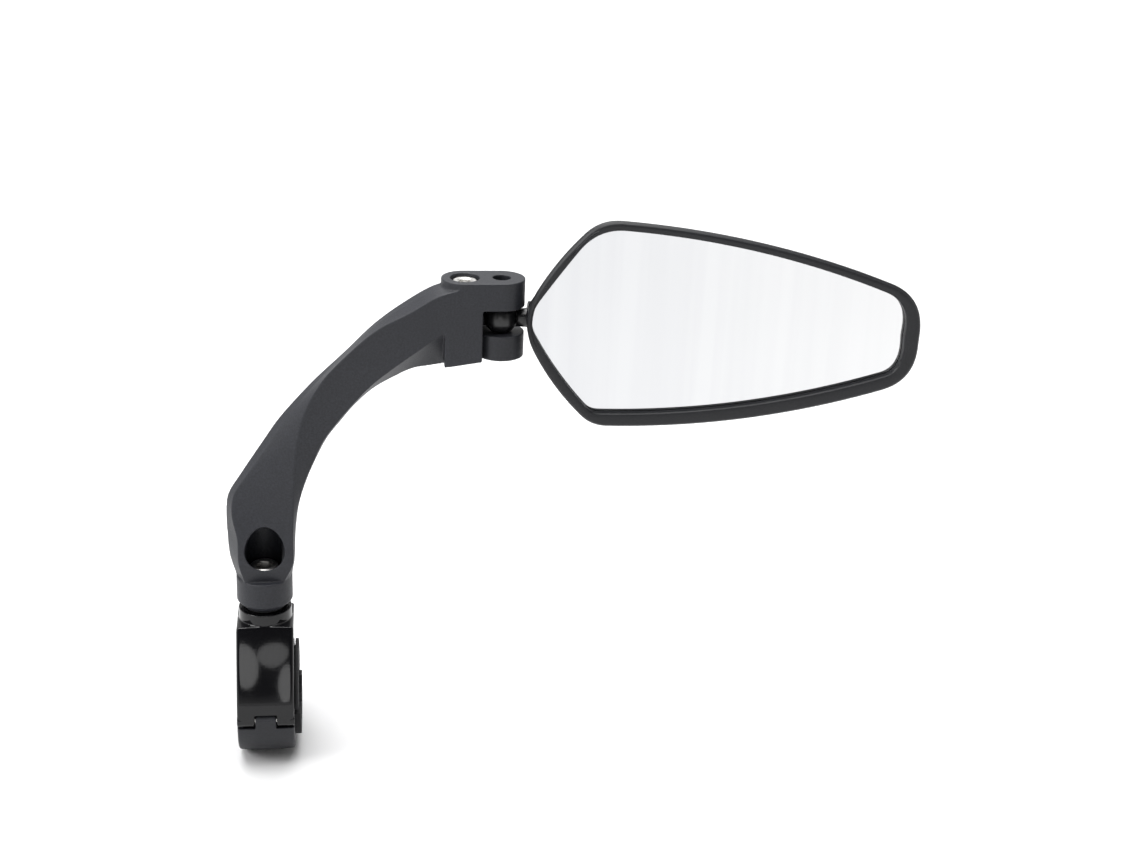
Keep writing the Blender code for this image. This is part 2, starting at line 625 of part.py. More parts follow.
def build_back_shell(material):
    outer = head_loft("back_shell", [(SHELL_RIM_Y, 1.5), (-1.0, 2.4), (2.0, 3.9), (4.6, 5.4), (6.2, 7.2),
                                     (SHELL_BACK_Y - 0.4, 10.0), (SHELL_BACK_Y, 14.0)])
    inner = head_loft("inner", [(SHELL_RIM_Y - 1, 3.6), (-1.0, 4.6), (1.8, 6.1), (3.6, 7.4), (5.0, 10.0),
                                (5.7, 14.0)])
    boolean(outer, [inner])
    boss = prism("boss", circle(0, BALL.z, BOSS_R, 32), HEAD_WALL_X[0], BOSS_END_X, "x")
    front = prism("front", [(80, 120), (110, 120), (110, 165), (80, 165)], -20, SHELL_RIM_Y, "y")
    boolean(boss, [front])
    boolean(outer, [boss], "UNION")
    ribs = []
    for x in RIB_X:
        low, high = outline_span(x, RIB_INSET)
        ribs.append(prism("rib", [(x - 0.8, low), (x + 0.8, low), (x + 0.8, high), (x - 0.8, high)],
                          RIB_FRONT_Y, 6.4, "y"))
    boolean(outer, ribs, "UNION")
    bore = prism("bore", circle(0, BALL.z, STUD_SHANK_R + GAP, 20), 85, 94, "x")
    nut_space = prism("nut_space", circle(0, BALL.z, 4.4, 24), HEAD_WALL_X[1], 101, "x")
    return dress(boolean(outer, [bore, nut_space]), material, BALL)


def build_stud_fasteners(steel):
    ring = turned("stud_washer", [(2.3, 93.7), (4.0, 93.7), (4.0, 94.5), (2.3, 94.5)],
                  (0, 0, BALL.z), "x", 24)
    nut = prism("stud_nut", hexagon(0, BALL.z, 7.0, math.pi / 6), 94.8, 98.0, "x")
    hole = prism("hole", circle(0, BALL.z, STUD_SHANK_R + GAP, 20), 90, 102, "x")
    return [dress(ring, steel, BALL), dress(boolean(nut, [hole]), steel, BALL)]


# ---------------------------------------------------------------- assembly

def main():
    clear_scene()
    arm_black = make_material("arm_black", (0.048, 0.050, 0.056), 0.55)
    gloss_black = make_material("gloss_black", (0.008, 0.008, 0.009), 0.12)
    jaw_black = make_material("jaw_black", (0.040, 0.041, 0.044), 0.50)
    rubber = make_material("shim_rubber", (0.015, 0.015, 0.016), 0.75)
    ball_black = make_material("ball_black", (0.010, 0.010, 0.011), 0.18)
    steel = make_material("steel", (0.62, 0.61, 0.59), 0.28, 1.0)
    bezel_black = make_material("bezel_black", (0.036, 0.037, 0.040), 0.45)
    shell_black = make_material("shell_black", (0.040, 0.041, 0.045), 0.55)
    silvered = make_material("silvered_glass", (0.92, 0.93, 0.94), 0.03, 1.0)
    foam = make_material("foam", (0.70, 0.70, 0.68), 0.90)

    build_clamp_upper(gloss_black)
    build_clamp_lower(jaw_black)
    build_shims(rubber)
    build_hinge_pin(steel)
    dress(hex_nut("clamp_nut", (0, LUG_Y, 2.5), 8.0, CLAMP_BORE_R, 3.8), steel)
    dress(washer("clamp_screw_washer", (0, LUG_Y), CLAMP_BORE_R, 4.6, -7.7, -6.9), steel,
          (0, HINGE_Y, HINGE_Z))
    build_clamp_screw(steel)
    dress(hex_nut("neck_nut", (0, 0, 18.0), 10.0, BASE_BORE_R, 5.0, math.pi / 6), steel)
    dress(washer("swivel_washer", (0, 0), BASE_BORE_R, 7.2, *WASHER_Z), rubber)

    build_arm(arm_black)
    dress(washer("base_screw_washer", (0, 0), BASE_BORE_R, 5.8, 43.6, 44.8), steel, (0, 0, COLLAR_BOTTOM))
    build_base_screw(steel)
    build_ball_screw(steel)
    dress(washer("ball_screw_washer", (SCREW_X, 0), BALL_BORE_R, 4.6, *BALL_WASHER_Z), steel)
    build_lower_jaw(jaw_black)
    dress(hex_nut("jaw_nut", (SCREW_X, 0, LOWER_JAW_BOTTOM + 0.3), 8.0, BALL_BORE_R, 4.0, math.pi / 6), steel)
    build_pivot_ball(ball_black)
    build_ball_stud(ball_black)
    build_back_shell(shell_black)
    build_bezel(bezel_black)
    build_glass(silvered)
    build_pad(foam)
    build_stud_fasteners(steel)


main()
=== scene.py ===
import math

import bmesh
import bpy
from mathutils import Matrix, Vector


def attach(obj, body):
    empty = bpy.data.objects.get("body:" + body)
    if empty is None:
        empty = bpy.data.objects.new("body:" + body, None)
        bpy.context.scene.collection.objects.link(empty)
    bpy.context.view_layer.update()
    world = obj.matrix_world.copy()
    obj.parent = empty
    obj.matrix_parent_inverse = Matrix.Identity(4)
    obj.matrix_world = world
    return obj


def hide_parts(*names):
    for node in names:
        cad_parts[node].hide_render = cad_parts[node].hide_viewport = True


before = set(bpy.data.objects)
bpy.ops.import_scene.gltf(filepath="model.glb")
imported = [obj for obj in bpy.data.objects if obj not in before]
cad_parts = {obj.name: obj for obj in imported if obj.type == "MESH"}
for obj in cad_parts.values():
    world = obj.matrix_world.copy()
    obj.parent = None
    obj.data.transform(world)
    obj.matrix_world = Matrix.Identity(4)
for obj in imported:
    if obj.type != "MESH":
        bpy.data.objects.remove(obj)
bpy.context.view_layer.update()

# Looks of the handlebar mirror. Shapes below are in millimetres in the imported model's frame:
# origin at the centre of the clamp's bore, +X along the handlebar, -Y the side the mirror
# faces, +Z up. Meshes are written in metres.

MM = 0.001
GAP = 0.3

# Handlebar clamp
BAR_R = 11.1
BORE_R = 16.1
RING_R = 21.2
RING_HALF_W = 10.0
CROWN = 0.5              # the band's outer face is slightly barrelled across its width
FLANK_SWELL = math.radians(5.5)   # and its flanks leave the ring early, so that they swell a little
EDGE_ROUND = 0.8         # rounding of the band's side edges
HINGE_Y = -18.6
HINGE_Z = -1.0
HINGE_R = 2.5
TAB_HALF = 3.6
NOTCH_OUT = 6.0          # the hinge notch's reach from the pin, outwards and into the band
NOTCH_IN = 5.0
PIN_R = 1.3
LUG_Y = 25.2
LUG_START_Y = 17.4
LUG_CORNER_R = 2.0
LUG_END_Y = 30.0
LUG_HALF_W = 6.0
LUG_TOP_Z = 6.5
LUG_BOTTOM_Z = -6.6
LUG_NUT_Z = 2.5
LUG_POCKET = (8.6, 2.2)  # hex pockets for the nuts: across the flats, and the level where each ends
SEAT_POCKET = (10.6, 23.3)
CLAMP_BORE_R = 3.1
SEAT_R = 9.3
SEAT_ROOT = 24.0
SEAT_TOP = 35.0
SEAT_BORE_BOTTOM = 10.0
SADDLE_HALF = 9.5
SADDLE_TOP = 31.0
SHIM_R = 15.8
SHIM_FLANGE_R = 18.6
SHIM_PAST_UPPER = 1.4    # how far each shim stands past the band on the mirror's side
SHIM_PAST_LOWER = 2.2
SHIM_SPLIT = 0.6         # each shim stops this far from the split plane
FLANGE_SPLIT = 2.0
GROOVE_R = 0.45
FLOOR_Z = -21.2

# Arm
COLLAR_BOTTOM = 36.0
COLLAR_EDGE = 38.2
COLLAR_R = 9.8
COLLAR_TOP = 47.3
BASE_BORE_R = 3.3
BASE_FLOOR = 43.3
BASE_POCKET_R = 6.3
BASE_POCKET_TOP = 66.0
GROOVE_Z = 46.0          # fine groove round the collar
CREST_Y = 0.6            # the crest line runs just behind the middle plane
BALL = Vector((81.2, 0.0, 142.4))
BALL_R = 5.6
NECK_R = 3.1
JAW_R = 8.0
TOP_Z = 156.6
UPPER_JAW_Z = 147.0
LOWER_JAW_TOP = 137.9
LOWER_JAW_BOTTOM = 129.4
BLOCK_X = 74.6
BLOCK_LEFT = 61.9
WEB_X = (73.0, 77.7)     # web behind the ball that ties the block to the upper jaw
WEB_Z = (138.4, 148.3)
WEB_FRONT_Y = 3.2
SCREW_X = 68.8
BALL_BORE_R = 2.8
COUNTERBORE_R = 4.95
COUNTERBORE_Z = 149.4
RELIEF_R = 3.05          # hole in the upper jaw above the ball
TAIL_POCKET_X = 62.9
TAIL_POCKET_HALF_Y = 5.3
JAW_NUT_POCKET = (8.6, 4.6)   # across the flats, and depth from the jaw's underside

# Stud between ball and head, measured along X: radii, and places from the ball's centre
STUD_FLARE_R = 3.3
STUD_SHANK_R = 2.0
STUD_NECK_END = 6.6
STUD_FLARE_X = (8.6, 9.0)
STUD_END = 18.4
STUD_TIP = 0.4

# Boss inside the head that the stud is bolted to
BOSS_R = 5.6
BOSS_X = (90.5, 100.0)
BOSS_WALL_X = 93.4
NUT_SPACE_R = 4.4
STUD_NUT_X = (94.8, 98.0)
RING_X = (93.7, 94.5)
SHELL_RIM_Y = -3.6

# Mirror head: corners in X and Z, bows of the edges after them, and rounding lengths
RIM = ([(87.2, 143.5), (113.3, 179.1), (226.7, 152.0), (226.1, 121.8), (112.9, 105.8)],
       [2.7, 5.1, -0.2, 5.4, 2.8],
       [12.4, 7.2, 13.3, 11.8, 5.3])
OPENING = ([(89.2, 144.8), (112.0, 176.0), (224.2, 149.2), (223.7, 126.4), (112.5, 110.7)],
           [0.4, 5.2, -3.3, 5.1, 1.6],
           [7.6, 9.6, 12.7, 9.4, 3.0])


# ---------------------------------------------------------------- mesh helpers

def link_mesh(name, bm):
    """Turn a bmesh in millimetres into an object in metres, with its faces pointing out."""
    bmesh.ops.remove_doubles(bm, verts=bm.verts, dist=0.0005)
    bmesh.ops.recalc_face_normals(bm, faces=bm.faces)
    if bm.calc_volume(signed=True) < 0:
        bmesh.ops.reverse_faces(bm, faces=bm.faces)
    bmesh.ops.scale(bm, vec=(MM, MM, MM), verts=bm.verts)
    mesh = bpy.data.meshes.new(name)
    bm.to_mesh(mesh)
    bm.free()
    obj = bpy.data.objects.new(name, mesh)
    bpy.context.scene.collection.objects.link(obj)
    return obj


def loft(name, rings, closed=False):
    """Solid through rings of points; a closed loft joins its last ring to its first."""
    bm = bmesh.new()
    levels = [[bm.verts.new(p) for p in ring] for ring in rings]
    count = len(rings[0])
    pairs = list(zip(levels, levels[1:]))
    if closed:
        pairs.append((levels[-1], levels[0]))
    for low, high in pairs:
        for i in range(count):
            j = (i + 1) % count
            bm.faces.new((low[i], low[j], high[j], high[i]))
    if not closed:
        bm.faces.new(list(reversed(levels[0])))
        bm.faces.new(levels[-1])
    return link_mesh(name, bm)


def prism(name, outline, start, end, axis="z"):
    """Extrude a closed outline between two positions along an axis."""
    def point(pair, along):
        u, v = pair
        return {"x": (along, u, v), "y": (u, along, v), "z": (u, v, along)}[axis]
    return loft(name, [[point(p, start) for p in outline], [point(p, end) for p in outline]])


def circle(cx, cy, radius, steps=96, start=0.0, sweep=2 * math.pi):
    """Points on a circle; an open arc also gets its end point."""
    closed = abs(sweep - 2 * math.pi) < 1e-9
    count = steps if closed else steps + 1
    return [(cx + radius * math.cos(start + sweep * i / steps),
             cy + radius * math.sin(start + sweep * i / steps)) for i in range(count)]


def hexagon(cx, cy, across_flats, turn=0.0):
    return circle(cx, cy, across_flats / math.sqrt(3.0), 6, turn)


def rounded_box(cx, cy, half_x, half_y, radius, steps=8):
    points = []
    for quarter, (sx, sy) in enumerate(((1, 1), (-1, 1), (-1, -1), (1, -1))):
        centre = (cx + sx * (half_x - radius), cy + sy * (half_y - radius))
        points += circle(*centre, radius, steps, quarter * math.pi / 2, math.pi / 2)
    return points


def turned(name, profile, centre, axis="z", steps=96):
    """Revolve (radius, height) pairs; a zero radius closes on the axis."""
    bm = bmesh.new()
    rows = []
    for radius, height in profile:
        if radius == 0:
            rows.append([bm.verts.new((0, 0, height))])
        else:
            rows.append([bm.verts.new((x, y, height)) for x, y in circle(0, 0, radius, steps)])
    pairs = list(zip(rows, rows[1:]))
    if profile[0][0] > 0:
        pairs.append((rows[-1], rows[0]))
    for low, high in pairs:
        for i in range(steps):
            j = (i + 1) % steps
            corners = [low[i % len(low)], low[j % len(low)], high[j % len(high)], high[i % len(high)]]
            bm.faces.new(list(dict.fromkeys(corners)))
    turn = {"z": Matrix.Identity(3),
            "x": Matrix.Rotation(math.pi / 2, 3, "Y"),
            "-z": Matrix.Rotation(math.pi, 3, "X")}[axis]
    for vert in bm.verts:
        vert.co = turn @ vert.co + Vector(centre)
    return link_mesh(name, bm)


def rounded_profile(points, radius=0.3, steps=4):
    """Round every inner corner of an open profile by a small arc."""
    out = [points[0]]
    for before, corner, after in zip(points, points[1:], points[2:]):
        c = Vector(corner)
        to_before = Vector(before) - c
        to_after = Vector(after) - c
        reach = min(radius, to_before.length * 0.45, to_after.length * 0.45)
        a = c + to_before.normalized() * reach
        b = c + to_after.normalized() * reach
        for k in range(steps + 1):
            t = k / steps
            out.append(tuple(a.lerp(c, t).lerp(c.lerp(b, t), t)))
    out.append(points[-1])
    return out


def bake_modifiers(obj):
    """Apply every modifier of the object to its mesh."""
    graph = bpy.context.evaluated_depsgraph_get()
    mesh = bpy.data.meshes.new_from_object(obj.evaluated_get(graph))
    obj.modifiers.clear()
    obj.data = mesh
    return obj


def boolean(target, tools, operation="DIFFERENCE"):
    """Combine target with each tool, keep the result as its mesh, and drop the tools."""
    for tool in tools:
        mod = target.modifiers.new(tool.name, "BOOLEAN")
        mod.operation = operation
        mod.solver = "EXACT"
        mod.object = tool
    bake_modifiers(target)
    for tool in tools:
        bpy.data.objects.remove(tool, do_unlink=True)
    return target


def soften(obj, voxel, passes):
    """Even out a cut solid into fine, gently rounded skin, like a moulding."""
    remesh = obj.modifiers.new("skin", "REMESH")
    remesh.mode = "VOXEL"
    remesh.voxel_size = voxel * MM
    smooth = obj.modifiers.new("smooth", "SMOOTH")
    smooth.factor = 0.5
    smooth.iterations = passes
    bake_modifiers(obj)
    for polygon in obj.data.polygons:
        polygon.use_smooth = True
    return obj


def bevelled(obj, width, segments=3, angle=32):
    """Round the sharp edges of a clean solid."""
    bevel = obj.modifiers.new("edge", "BEVEL")
    bevel.width = width * MM
    bevel.segments = segments
    bevel.limit_method = "ANGLE"
    bevel.angle_limit = math.radians(angle)
    bevel.use_clamp_overlap = True
    bake_modifiers(obj)
    for polygon in obj.data.polygons:
        polygon.use_smooth = True
    obj.data.set_sharp_from_angle(angle=math.radians(40))
    return obj


def smooth_rail(points, count):
    """Catmull-Rom curve through the points."""
    vectors = [Vector(p) for p in points]
    padded = [2 * vectors[0] - vectors[1], *vectors, 2 * vectors[-1] - vectors[-2]]
    out = []
    for i in range(count + 1):
        s = i / count * (len(points) - 1)
        k = min(int(s), len(points) - 2)
        t = s - k
        a, b, c, d = padded[k:k + 4]
        out.append(0.5 * ((2 * b) + (c - a) * t + (2 * a - 5 * b + 4 * c - d) * t * t
                          + (3 * b - a - 3 * c + d) * t ** 3))
    return out


def place(obj, material, body, slot, *nodes):
    """Finish a piece: material, the CAD nodes it stands for and its body; the slot argument is not used.
    """
    obj.data.materials.clear()
    obj.data.materials.append(material)
    for polygon in obj.data.polygons:
        polygon.material_index = 0
        polygon.use_smooth = True
    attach(obj, body)
    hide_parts(*nodes)
    return obj


# ---------------------------------------------------------------- materials

class Graph:
    """A material's node tree, built in short calls."""

    def __init__(self, name, colour, roughness, metallic=0.0, specular=0.5):
        self.mat = bpy.data.materials.new(name)
        self.mat.use_nodes = True
        self.tree = self.mat.node_tree
        self.shader = self.tree.nodes["Principled BSDF"]
        self.shader.inputs["Base Color"].default_value = (*colour, 1.0)
        self.shader.inputs["Roughness"].default_value = roughness
        self.shader.inputs["Metallic"].default_value = metallic
        self.shader.inputs["Specular IOR Level"].default_value = specular
        self.coords = self.tree.nodes.new("ShaderNodeTexCoord")
        self.normal = None

    def node(self, kind, **values):
        item = self.tree.nodes.new(kind)
        for key, value in values.items():
            setattr(item, key, value)
        return item

    def join(self, source, target):
        self.tree.links.new(source, target)

    def noise(self, scale, detail=2.0, stretch=(1, 1, 1), roughness=0.5):
        mapping = self.node("ShaderNodeMapping")
        mapping.inputs["Scale"].default_value = stretch
        self.join(self.coords.outputs["Object"], mapping.inputs["Vector"])
        item = self.node("ShaderNodeTexNoise")
        item.inputs["Scale"].default_value = scale
        item.inputs["Detail"].default_value = detail
        item.inputs["Roughness"].default_value = roughness
        self.join(mapping.outputs["Vector"], item.inputs["Vector"])
        return item.outputs["Fac"]

    def spread(self, value, low, high, start=0.3, end=0.7):
        item = self.node("ShaderNodeMapRange")
        item.inputs["From Min"].default_value = start
        item.inputs["From Max"].default_value = end
        item.inputs["To Min"].default_value = low
        item.inputs["To Max"].default_value = high
        self.join(value, item.inputs["Value"])
        return item.outputs["Result"]

    def blend(self, factor, first, second):
        item = self.node("ShaderNodeMix", data_type="RGBA")
        for socket, value in ((item.inputs["A"], first), (item.inputs["B"], second)):
            if isinstance(value, tuple):
                socket.default_value = (*value, 1.0)
            else:
                self.join(value, socket)
        self.join(factor, item.inputs["Factor"])
        return item.outputs["Result"]

    def bump(self, height, strength, distance):
        item = self.node("ShaderNodeBump")
        item.inputs["Strength"].default_value = strength
        item.inputs["Distance"].default_value = distance * MM
        self.join(height, item.inputs["Height"])
        if self.normal is not None:
            self.join(self.normal, item.inputs["Normal"])
        self.normal = item.outputs["Normal"]

    def worn_edge(self, low, high, amount):
        """Grows towards outer edges, where handling has rubbed the surface."""
        geometry = self.node("ShaderNodeNewGeometry")
        edge = self.spread(geometry.outputs["Pointiness"], 0.0, amount, low, high)
        patchy = self.spread(self.noise(160, 3), 0.35, 1.0)
        item = self.node("ShaderNodeMath", operation="MULTIPLY")
        self.join(edge, item.inputs[0])
        self.join(patchy, item.inputs[1])
        return item.outputs["Value"]

    def finish(self, colour=None, roughness=None):
        if colour is not None:
            self.join(colour, self.shader.inputs["Base Color"])
        if roughness is not None:
            self.join(roughness, self.shader.inputs["Roughness"])
        if self.normal is not None:
            self.join(self.normal, self.shader.inputs["Normal"])
        return self.mat


def shade(colour, factor):
    return tuple(min(1.0, channel * factor) for channel in colour)


def moulded(name, colour, roughness, grain=0.5, specular=0.4):
    """Grained moulded plastic: pebbled bump, slight blotches, painted shade in the pebble's pits, paler
    rubbed edges.
    """
    g = Graph(name, colour, roughness, specular=specular)
    pebble = g.noise(1500, 3, roughness=0.6)
    fine = g.noise(5200, 2)
    g.bump(pebble, 0.40 * grain, 0.14)
    g.bump(fine, 0.25 * grain, 0.06)
    blotch = g.blend(g.spread(g.noise(55, 3), 0.0, 1.0), shade(colour, 0.94), shade(colour, 1.16))
    # painted shade: the colour drops to 70% where the pebble bump is low, in its pits
    pit_shade = g.blend(g.spread(pebble, 0.0, 1.0, 0.35, 0.65), shade(colour, 0.70), blotch)
    worn = g.blend(g.worn_edge(0.53, 0.60, 0.35), pit_shade, shade(colour, 1.7))
    return g.finish(worn, g.spread(fine, roughness - 0.06, roughness + 0.08))


def polished(name, colour, roughness, specular=0.5):
    """Gloss moulding with faint waviness and hairline handling marks."""
    g = Graph(name, colour, roughness, specular=specular)
    wave = g.noise(190, 2)
    hair = g.noise(900, 4, (1, 9, 1), 0.65)
    g.bump(wave, 0.05, 0.08)
    g.bump(hair, 0.02, 0.02)
    tint = g.blend(g.spread(g.noise(70, 2), 0.0, 1.0), shade(colour, 0.8), shade(colour, 1.25))
    return g.finish(tint, g.spread(hair, roughness, roughness + 0.07, 0.45, 0.75))


def plated(name, colour, roughness):
    """Bright plated steel with fine tool marks."""
    g = Graph(name, colour, roughness, metallic=1.0)
    mark = g.noise(2200, 3, (1, 1, 5))
    cloud = g.noise(420, 3)
    g.bump(mark, 0.12, 0.03)
    tint = g.blend(g.spread(cloud, 0.0, 1.0), shade(colour, 0.84), shade(colour, 1.08))
    return g.finish(tint, g.spread(cloud, roughness - 0.05, roughness + 0.12))


def rubbery(name, colour):
    g = Graph(name, colour, 0.75, specular=0.3)
    grain = g.noise(3800, 3)
    g.bump(grain, 0.35, 0.08)
    tint = g.blend(g.spread(g.noise(130, 3), 0.0, 1.0), shade(colour, 0.8), shade(colour, 1.3))
    return g.finish(tint, g.spread(grain, 0.68, 0.88))


def silvered(name):
    """Silvered glass: near perfect, with painted reflection brightness: faint upright bands and a painted
    shade that dims the reflection towards the left.
    """
    g = Graph(name, (0.9, 0.905, 0.915), 0.02, metallic=1.0)
    # painted reflection: faint upright bands of brighter and dimmer reflection
    bands = g.noise(150, 3, (1, 0.02, 0.02))
    split = g.node("ShaderNodeSeparateXYZ")
    g.join(g.coords.outputs["Object"], split.inputs["Vector"])
    # painted shade: the reflection dims towards the left end of the glass and brightens towards the right
    across = g.spread(split.outputs["X"], 0.0, 1.0, 0.100, 0.215)
    painted_reflection_ramp = g.blend(across, (0.605, 0.61, 0.622), (0.69, 0.692, 0.695))
    light = g.blend(across, (0.63, 0.635, 0.645), (0.71, 0.711, 0.713))
    tint = g.blend(g.spread(bands, 0.0, 1.0, 0.38, 0.62), painted_reflection_ramp, light)
    return g.finish(tint, g.spread(g.noise(300, 2), 0.012, 0.03))


def foamy(name):
    g = Graph(name, (0.70, 0.70, 0.68), 0.9, specular=0.2)
    cells = g.noise(2500, 3)
    g.bump(cells, 0.5, 0.15)
    tint = g.blend(g.spread(cells, 0.0, 1.0), (0.6, 0.6, 0.58), (0.76, 0.76, 0.74))
    return g.finish(tint, g.spread(cells, 0.8, 0.95))


ARM_BLACK = moulded("arm_black", (0.0150, 0.0160, 0.0205), 0.50, 1.0, 0.34)
JAW_BLACK = moulded("jaw_black", (0.0125, 0.0132, 0.0168), 0.50, 0.9, 0.34)
BEZEL_BLACK = moulded("bezel_black", (0.0090, 0.0094, 0.0112), 0.44, 0.6, 0.32)
SHELL_BLACK = moulded("shell_black", (0.0110, 0.0115, 0.0140), 0.50, 0.9, 0.32)
GLOSS_BLACK = polished("gloss_black", (0.0028, 0.0028, 0.0034), 0.06, 0.36)
BALL_BLACK = polished("ball_black", (0.004, 0.004, 0.0045), 0.30)
RUBBER = rubbery("shim_rubber", (0.010, 0.010, 0.011))
STEEL = plated("steel", (0.66, 0.65, 0.63), 0.32)
MIRROR = silvered("silvered_glass")
FOAM = foamy("foam")


# ---------------------------------------------------------------- handlebar clamp

def band_outline(sign, ring_r):
    """Outline of one band half in Y and Z."""
    split = GAP / 2 * sign
    front = math.asin(split / ring_r)
    tangent = math.acos(ring_r / math.hypot(SADDLE_HALF, SADDLE_TOP))
    lean = math.atan2(SADDLE_HALF, SADDLE_TOP)
    outline = []
    if sign > 0:
        rise = math.pi / 2 - (lean + tangent)
        leave = rise - FLANK_SWELL
        outline += [(-y, z) for y, z in circle(0, 0, ring_r, 24, front, leave - front)]
        flank_start = Vector(outline[-1])
        flank_end = Vector((-SADDLE_HALF, SADDLE_TOP))
        uphill = Vector((math.sin(leave), math.cos(leave)))
        knee = flank_start + uphill * 0.5 * (flank_end - flank_start).length
        for k in range(1, 24):
            t = k / 24
            outline.append(tuple(flank_start.lerp(knee, t).lerp(knee.lerp(flank_end, t), t)))
        outline += [(-SADDLE_HALF, SADDLE_TOP), (SADDLE_HALF, SADDLE_TOP)]
        lug_angle = math.asin(LUG_TOP_Z / ring_r)
        outline += circle(0, 0, ring_r, 24, rise, lug_angle - rise)
    else:
        lug_angle = math.asin(LUG_BOTTOM_Z / ring_r)
        outline += circle(0, 0, ring_r, 96, math.pi - front, math.pi + lug_angle + front)
    outline += circle(0, 0, BORE_R, 64, math.asin(split / BORE_R),
                      sign * math.pi - 2 * math.asin(split / BORE_R))
    return outline


def band_half(name, sign):
    """Clamp band half with a softly barrelled outer face."""
    rings = []
    steps = 14
    outline = band_outline(sign, RING_R)
    for k in range(-steps, steps + 1):
        x = RING_HALF_W * math.sin(math.pi / 2 * k / steps)
        into_edge = max(0.0, (abs(x) - RING_HALF_W + EDGE_ROUND) / EDGE_ROUND)
        pull = CROWN * (x / RING_HALF_W) ** 2 + EDGE_ROUND * (1 - math.sqrt(1 - into_edge ** 2))
        ring = []
        for y, z in outline:
            reach = math.hypot(y, z)
            scale = 1 - pull / reach if reach > BORE_R + 1 else 1
            ring.append((x, y * scale, z * scale if abs(z) > 1 else z))
        rings.append(ring)
    body = loft(name, rings)
    split = GAP / 2 * sign
    top = LUG_TOP_Z if sign > 0 else LUG_BOTTOM_Z
    lug_outline = rounded_box(0, (LUG_START_Y + LUG_END_Y) / 2, LUG_HALF_W,
                              (LUG_END_Y - LUG_START_Y) / 2, LUG_CORNER_R)
    lug = prism("lug", lug_outline, min(split, top), max(split, top), "z")
    return boolean(body, [lug], "UNION")


def knuckle(x_low, x_high, radius):
    return prism("knuckle", circle(HINGE_Y, HINGE_Z, radius, 64), x_low, x_high, "x")


def hinge_notch(x_low, x_high, z_low, z_high):
    y_low, y_high = HINGE_Y - NOTCH_OUT, HINGE_Y + NOTCH_IN
    outline = [(y_low, z_low), (y_high, z_low), (y_high, z_high), (y_low, z_high)]
    return prism("notch", outline, x_low, x_high, "x")


def pin_bore():
    return prism("pin_bore", circle(HINGE_Y, HINGE_Z, PIN_R + GAP / 2, 48),
                 -RING_HALF_W - 2, RING_HALF_W + 2, "x")


def make_clamp():
    upper = band_half("band_upper", 1)
    side = [knuckle(-RING_HALF_W, -TAB_HALF - GAP, HINGE_R),
            knuckle(TAB_HALF + GAP, RING_HALF_W, HINGE_R)]
    seat = prism("seat", circle(0, 0, SEAT_R, 128), SEAT_ROOT, SEAT_TOP)
    boolean(upper, [*side, seat], "UNION")
    boolean(upper, [
        hinge_notch(-TAB_HALF - GAP, TAB_HALF + GAP, -5, HINGE_Z + HINGE_R + GAP),
        pin_bore(),
        prism("screw_bore", circle(0, 0, BASE_BORE_R, 64), SEAT_BORE_BOTTOM, SEAT_TOP + 1),
        prism("nut_pocket", hexagon(0, 0, SEAT_POCKET[0], math.pi / 6), SEAT_BORE_BOTTOM, SEAT_POCKET[1]),
        prism("lug_bore", circle(0, LUG_Y, CLAMP_BORE_R, 64), -1, LUG_TOP_Z + 1),
        prism("lug_pocket", hexagon(0, LUG_Y, LUG_POCKET[0]), LUG_POCKET[1], LUG_TOP_Z + 1)])
    soften(upper, 0.20, 9)
    place(upper, GLOSS_BLACK, "clamp", "gloss_black", "clamp_upper")

    lower = band_half("band_lower", -1)
    boolean(lower, [hinge_notch(-RING_HALF_W - 1, -TAB_HALF, HINGE_Z - HINGE_R - GAP, 1),
                    hinge_notch(TAB_HALF, RING_HALF_W + 1, HINGE_Z - HINGE_R - GAP, 1)])
    boolean(lower, [knuckle(-TAB_HALF, TAB_HALF, HINGE_R)], "UNION")
    lug_bore = prism("lug_bore", circle(0, LUG_Y, CLAMP_BORE_R, 64), LUG_BOTTOM_Z - 1, 1)
    boolean(lower, [pin_bore(), lug_bore])
    soften(lower, 0.20, 5)
    place(lower, JAW_BLACK, "clamp_lower_half", "jaw_black", "clamp_lower")


def half_shell(name, inner, outer, sign, x_low, x_high, margin):
    """Half tube about X, stopping a margin short of the split plane."""
    start = math.asin(margin / inner)
    sweep = math.pi - 2 * start
    outline = circle(0, 0, outer, 64, start, sweep)
    outline += list(reversed(circle(0, 0, inner, 64, start, sweep)))
    return prism(name, [(y, sign * z) for y, z in outline], x_low, x_high, "x")


def make_shims():
    """Rubber shims; their inner faces carry shallow grip grooves along the bar."""
    upper_end = RING_HALF_W + SHIM_PAST_UPPER
    lower_end = RING_HALF_W + SHIM_PAST_LOWER
    upper = half_shell("liner_upper", BAR_R, SHIM_R, 1, -RING_HALF_W, upper_end, SHIM_SPLIT)
    flange = half_shell("flange", SHIM_R - 1, SHIM_FLANGE_R, 1, RING_HALF_W + GAP, upper_end, FLANGE_SPLIT)
    boolean(upper, [flange], "UNION")
    lower = half_shell("liner_lower", BAR_R, SHIM_R, -1, -RING_HALF_W, lower_end, SHIM_SPLIT)
    for liner, sign, body, node in ((upper, 1, "clamp", "shim_upper"),
                                    (lower, -1, "clamp_lower_half", "shim_lower")):
        grooves = []
        for k in range(1, 10):
            a = math.pi * k / 10
            y, z = BAR_R * math.cos(a), sign * BAR_R * math.sin(a)
            grooves.append(prism("groove", circle(y, z, GROOVE_R, 12), -20, 20, "x"))
        boolean(liner, grooves)
        soften(liner, 0.22, 3)
        place(liner, RUBBER, body, "shim_rubber", node)


# ---------------------------------------------------------------- screws, washers, nuts

